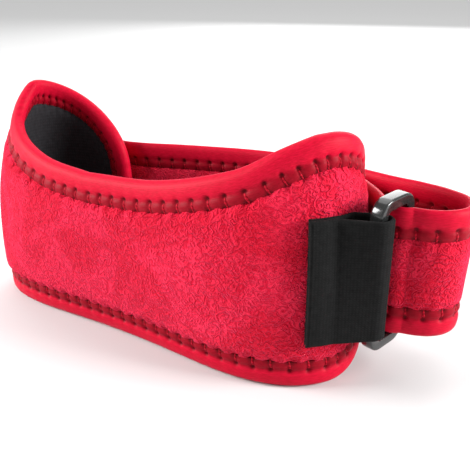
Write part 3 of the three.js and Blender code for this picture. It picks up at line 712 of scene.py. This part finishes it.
def padding(cut, flat, under, full, drawn=0.5):
    """Half thickness: the room under the tape, then a quarter circle's rise to the full value,
    less what the nearest stitch draws down."""
    depth, s = from_edge(cut, flat)
    stitch = bell(from_stitch(cut, s), 1.1)
    u = np.clip((depth - LAP - SCALLOP * stitch) / SHOULDER, 0, 1)
    rise = np.sqrt(1 - (1 - u) ** 2)
    pulled = stitch * bell(depth - LAP, 2.0) * drawn
    a, h = flat[..., 0], flat[..., 1]
    soft = np.sin(a / 9.0 + np.sin(h / 11.0)) * np.sin(h / 8.0 + np.sin(a / 13.0))
    return under + (full - under) * rise * (1 - pulled) + 0.12 * soft * u


def ellipse_corner(lobe, upper):
    """Where an end's quarter ellipse has turned half-way."""
    half = math.sqrt(0.5)
    if upper:
        along = lobe["peak"] + (lobe["reach"] - lobe["peak"]) * half
        return [lobe["side"] * along, END_TOP + (lobe["height"] - END_TOP) * half]
    along = lobe["foot"] + (lobe["reach"] - lobe["foot"]) * half
    return [lobe["side"] * along, END_FOOT * (1 - half)]


front_corners = [
    ellipse_corner(LOBES["far"], True),
    ellipse_corner(LOBES["near"], True),
    ellipse_corner(LOBES["near"], False),
    ellipse_corner(LOBES["far"], False),
]

# %% The front's foam and pile
PILE_STEP, KNIT_STEP = 0.95, 1.5
front_flat = panel_flat(front_cut, front_corners, PILE_INSET, PILE_STEP)
front_half = padding(front_cut, front_flat, 1.25, 3.25)
a, h = front_flat[..., 0], front_flat[..., 1]
foam = shell(on_front(a, h, front_half), on_front(a, h, -front_half * 0.6), front_flat)
pad_body = add_piece("front_pile", *foam, PILE, "plush", ["pad_body"])

# %% The front's lining
lining_flat = panel_flat(front_cut, front_corners, PILE_INSET, KNIT_STEP)
lining_half = padding(front_cut, lining_flat, 1.3, 3.15, drawn=0.3)
a, h = lining_flat[..., 0], lining_flat[..., 1]
knit = shell(on_front(a, h, -lining_half), on_front(a, h, -lining_half * 0.75), lining_flat)
add_piece("front_lining", *knit, LINING, "lining", ["pad_lining"])

# %% [markdown]
# ## Tape round the edges
#
# A strip of tape is folded over the edge and sewn through both laps at once. Its section is a
# hairpin: an outer lap, a round nose and an inner lap, with a wall of even thickness. The section
# is carried round the outline, and each stitch presses a hole, a bar between the hole and the
# pile, and leaves a small puff of tape between itself and the next.


# %% Section of the tape
TAPE_WALL, FRONT_TAPE_HALF, STRAP_TAPE_HALF = 0.8, 2.4, 1.6
OUTER_LAP = [9.4, 9.2, 8.9, 8.5, 8.1, 7.7, 7.3, 6.9, 6.6, 6.35, 6.1, 5.85, 5.6, 5.2, 4.7, 4.1, 3.5]
INNER_WALL = {
    "depth": [9.4, 7.0, 4.0, 1.5, 0.9, 1.5, 4.0, 7.0, 9.4],
    "share": [-1, -1, -1, -0.8, 0, 0.8, 1, 1, 1],
}
NOSE = 2.9


def pressed(cut, s, depth, half):
    """Half thickness at a depth: a slow fall to the lap, a groove along the holes, and at each
    stitch a hole and a bar, with puffs between them."""
    gap = from_stitch(cut, s)
    inside = 1 / (1 + np.exp(-(depth - 6.3) / 0.25))
    fall = 0.45 * np.clip((depth - 4.5) / 4.8, 0, 1) ** 1.5
    groove = 0.35 * bell(depth - HOLE_DEPTH, 0.9)
    hole = 0.8 * bell(gap, 0.7) * bell(depth - HOLE_DEPTH, 0.8)
    bar = 0.35 * bell(gap, 0.6) * inside
    puff = 0.32 * (1 - bell(gap, 1.5)) * bell(depth - 7.7, 1.3)
    nose = 0.10 * (1 - bell(gap, 1.6)) * bell(depth - 4.0, 1.6)
    return half - fall - groove - hole - bar + puff + nose


def tape_round(cut, place, half):
    """The hairpin section at every step of the outline: points, faces and pattern."""
    lap = np.array(OUTER_LAP)
    turn = np.radians(np.linspace(90, -90, 15))[1:-1]
    s = cut["s"][:, None]
    outer = pressed(cut, s, lap[None], half)
    round_depth, round_out = NOSE * (1 - np.cos(turn)), half * 1.02 * np.sin(turn)
    back_out = np.array(INNER_WALL["share"]) * (half - TAPE_WALL) * 0.85
    depth = np.concatenate([lap, round_depth, lap[::-1], INNER_WALL["depth"]])
    steps = len(cut["s"])
    fixed = lambda x: np.broadcast_to(x, (steps, len(x)))
    out = np.concatenate([outer, fixed(round_out), -outer[:, ::-1], fixed(back_out)], 1)
    flat = at_edge(cut, np.broadcast_to(s, out.shape), np.broadcast_to(depth, out.shape))
    points = place(flat[..., 0], flat[..., 1], out).reshape(-1, 3)
    cells, faces = grid(steps, len(depth), True, True)
    pitch = cut["length"] / round(cut["length"] / PITCH)
    u = np.append(cut["s"], cut["length"]) / pitch
    v = np.append(depth, depth[0])
    return points, faces, np.stack([u[cells[..., 0]], v[cells[..., 1]]], -1)


# %% The front's tape
front_edging = tape_round(front_cut, on_front, FRONT_TAPE_HALF)
add_piece("front_tape", *front_edging, TAPE, "tape", ["pad_binding"])

# %% [markdown]
# ## Stitches
#
# Each stitch is a short piece of thread that rises out of its hole, lies across the lap of the
# tape and sinks into the pile. It is a tapered tube of few faces, and all of them are worked out
# in one go. They are made on both faces, since the thread goes right through.


# %% Rows of stitches
def stitches(cut, place, half):
    """Tubes from depth 5.9 to 10: the radius is the root of a sine, the rise another sine."""
    count = round(cut["length"] / PITCH)
    s = (np.arange(count) + 0.5) * cut["length"] / count
    t = np.linspace(0, 1, 8)
    angle = np.radians(np.arange(0, 360, 60))
    radius = 0.36 * np.sqrt(np.sin(np.pi * (0.04 + 0.92 * t)))
    depth = 5.9 + 4.0 * t
    lie = pressed(cut, np.full(8, s[0]), np.minimum(depth, 9.2), half)
    lie = lie + 0.20 * np.sin(np.pi * t) - 0.15
    slant = 0.5 * (t - 0.5)
    along = s[:, None, None] + slant[None, :, None] + radius[None, :, None] * np.cos(angle)
    deep = np.broadcast_to(depth[None, :, None], along.shape)
    flat = at_edge(cut, along % cut["length"], deep)
    lift = lie[None, :, None] + radius[None, :, None] * np.sin(angle)
    both = [place(flat[..., 0], flat[..., 1], side * lift) for side in (1, -1)]
    both[1] = both[1][:, :, ::-1]
    points = np.stack(both).reshape(-1, 3)
    cells, tube = grid(8, 6, False, True)
    ends = np.array([[0, 5, 4, 3], [0, 3, 2, 1], [42, 43, 44, 45], [42, 45, 46, 47]])
    one = np.concatenate([tube, ends])
    start = np.arange(2 * count)[:, None, None] * 48
    pattern = np.concatenate([cells * [1 / 8, 1 / 6], np.zeros((4, 4, 2))])
    return points, (one + start).reshape(-1, 4), np.tile(pattern, (2 * count, 1, 1))


add_piece("front_stitches", *stitches(front_cut, on_front, FRONT_TAPE_HALF), THREAD, "tape")

# %% [markdown]
# ## The strap
#
# The strap is made like the front, only narrower, thinner and with pile on both faces, so the
# same three functions make its body, its tape and its stitches on its own course.

# %% The strap's body, tape and stitches
reach, r = strap_way["length"], STRAP_CORNER * (1 - math.sqrt(0.5))
strap_corners = [[r, STRAP_WIDTH - r], [reach - r, STRAP_WIDTH - r], [reach - r, r], [r, r]]
strap_flat = panel_flat(strap_cut, strap_corners, PILE_INSET, PILE_STEP)
strap_half = padding(strap_cut, strap_flat, 0.6, 1.75)
a, h = strap_flat[..., 0], strap_flat[..., 1]
band = shell(on_strap(a, h, strap_half), on_strap(a, h, -strap_half), strap_flat)
strap_body = add_piece("strap_pile", *band, PILE, "plush", ["strap_body"])
strap_edging = tape_round(strap_cut, on_strap, STRAP_TAPE_HALF)
add_piece("strap_tape", *strap_edging, TAPE, "tape", ["strap_binding"])
add_piece("strap_stitches", *stitches(strap_cut, on_strap, STRAP_TAPE_HALF), THREAD, "tape")

# %% [markdown]
# ## Webbing tab and hook patch
#
# The tab is a doubled piece of webbing that goes round the ring's near bar. The hook patch is
# sewn under the strap's loose end, where the pile takes hold of it. Both are thin strips, whose
# thickness closes over a narrow selvage.


# %% Thin strips
def strip(place, start, end, low, high, middle, thick, step=0.8, selvage=0.5):
    """Two faces that lie the thickness apart and come together along all four edges."""
    a = np.linspace(start, end, int((end - start) / step))[:, None]
    h = np.linspace(low, high, int((high - low) / step))[None]
    a, h = np.broadcast_arrays(a, h)
    edge = np.minimum(np.minimum(a - start, end - a), np.minimum(h - low, high - h))
    half = thick / 2 * (0.25 + 0.75 * np.sqrt(1 - (1 - np.clip(edge / selvage, 0, 1)) ** 2))
    return shell(place(a, h, middle + half), place(a, h, middle - half), np.stack([a, h], -1))


tab = strip(on_web, 0, web_way["length"], 0, WEB_WIDTH, middle=0, thick=1.4, step=0.5)
add_piece("webbing_tab", *tab, WEBBING, "webbing", ["ring_tab"])
PATCH_START, PATCH_MARGIN = 23.0, 6.0
PATCH_SPAN = {"start": reach - PATCH_START, "end": reach - PATCH_MARGIN}
PATCH_RISE = {"low": PATCH_MARGIN, "high": STRAP_WIDTH - PATCH_MARGIN}
patch = strip(on_strap, **PATCH_SPAN, **PATCH_RISE, middle=2.65, thick=1.2)
add_piece("hook_strip", *patch, HOOKS, "hook", ["hook_patch"])

# %% [markdown]
# ## The ring
#
# A moulded rectangular loop. Its bar is a rounded square carried round a rectangle with round
# corners. The ring leans a little with the cloth that holds it, so it is built on its own three
# directions: across, up and facing.

# %% The moulded ring
STRAP_BAR, WEB_BAR = np.array([70.56, -1.86, 35.96]), np.array([67.71, -14.03, 35.96])
RING_UP = np.array([0.0370, -0.0789, 0.9962])
BAR_WIDE, BAR_DEEP, RING_TURN, RING_HIGH = 3.4, 4.2, 3.2, 48.6


def ring_points(steps=10, sides=28):
    """Rounded rectangle of the bar's middle, plus a rounded square across it at every step."""
    across = STRAP_BAR - WEB_BAR
    wide = np.linalg.norm(across)
    across = across - RING_UP * (across @ RING_UP)
    across = across / np.linalg.norm(across)
    facing = np.cross(across, RING_UP)
    long, short = RING_HIGH / 2 - BAR_WIDE / 2 - RING_TURN, wide / 2 - RING_TURN
    a = np.radians(np.concatenate([np.linspace(k, k + 90, steps) for k in (0, 90, 180, 270)]))
    quarter = np.repeat([[1, 1], [-1, 1], [-1, -1], [1, -1]], steps, 0) * [short, long]
    way = quarter + RING_TURN * np.stack([np.cos(a), np.sin(a)], 1)
    b = np.radians(np.arange(sides) * 360 / sides)
    square = lambda x: np.sign(x) * np.abs(x) ** 0.3
    u, v = square(np.cos(b)) * BAR_WIDE / 2, square(np.sin(b)) * BAR_DEEP / 2
    x = way[:, :1] + np.cos(a)[:, None] * u
    z = way[:, 1:] + np.sin(a)[:, None] * u
    middle = (STRAP_BAR + WEB_BAR) / 2
    return middle + x[..., None] * across + z[..., None] * RING_UP + v[None, :, None] * facing


loop = ring_points()
cells, faces = grid(*loop.shape[:2], True, True)
add_piece("ring_loop", loop.reshape(-1, 3), faces, cells * 1.0, RING, "ring_plastic", ["ring"])

# %% [markdown]
# ## Floor, light and camera
#
# A pale floor and a bright, even surround give the nearly shadowless look of a catalogue picture.
# One soft light on the left brightens the left lobe, and a second on the right does so for the turn
# of the strap. A third stands behind, and a very wide sun comes from above and a little behind, so
# both light the rims more than the faces.


# %% Studio
def studio_material(name, tone):
    """A plain matt material."""
    made = bpy.data.materials.new(name)
    made.use_nodes = True
    shader = made.node_tree.nodes["Principled BSDF"]
    shader.inputs["Base Color"].default_value = colour(tone, tone, tone)
    shader.inputs["Roughness"].default_value = 0.9
    return made


bpy.ops.mesh.primitive_plane_add(size=8, location=(0, 0, 0))
floor = bpy.context.object
floor.name = "floor"
floor.data.materials.append(studio_material("pale_floor", 0.60))

world = bpy.data.worlds.new("surround")
world.use_nodes = True
world.node_tree.nodes["Background"].inputs["Color"].default_value = colour(1, 1, 1)
world.node_tree.nodes["Background"].inputs["Strength"].default_value = 0.54
bpy.context.scene.world = world
bpy.context.scene.view_settings.view_transform = "Standard"

YAW = math.radians(33)
RIGHT = Vector((math.cos(YAW), math.sin(YAW), 0))
AHEAD = Vector((-math.sin(YAW), math.cos(YAW), 0))


def soft_light(name, right, ahead, up, size, power):
    """A square light at a place seen from the camera, aimed at the middle of the object."""
    data = bpy.data.lights.new(name, "AREA")
    data.size, data.energy = size, power
    lamp = bpy.data.objects.new(name, data)
    lamp.location = RIGHT * right + AHEAD * ahead + Vector((0, 0, up))
    aim = Vector((0, 0, 0.035)) - lamp.location
    lamp.rotation_euler = aim.to_track_quat("-Z", "Y").to_euler()
    bpy.context.collection.objects.link(lamp)


soft_light("left_light", -0.80, -0.02, 0.40, 0.40, 13.0)
soft_light("right_light", 0.80, -0.25, 0.35, 0.35, 13.0)
soft_light("back_light", 0.3, 1.1, 0.50, 0.70, 7.0)

sun = bpy.data.objects.new("overhead", bpy.data.lights.new("overhead", "SUN"))
sun.data.energy, sun.data.angle = 1.25, math.radians(50)
sun.rotation_euler = (math.radians(-30), 0, YAW)
bpy.context.collection.objects.link(sun)

# %% Camera
camera = bpy.data.objects.new("camera", bpy.data.cameras.new("camera"))
camera.location = (0.1327, -0.18615, 0.119)
camera.rotation_euler = (math.radians(90 - 21.2), 0, YAW)
camera.data.lens = 53.6
camera.data.clip_start = 0.01
bpy.context.collection.objects.link(camera)
bpy.context.scene.camera = camera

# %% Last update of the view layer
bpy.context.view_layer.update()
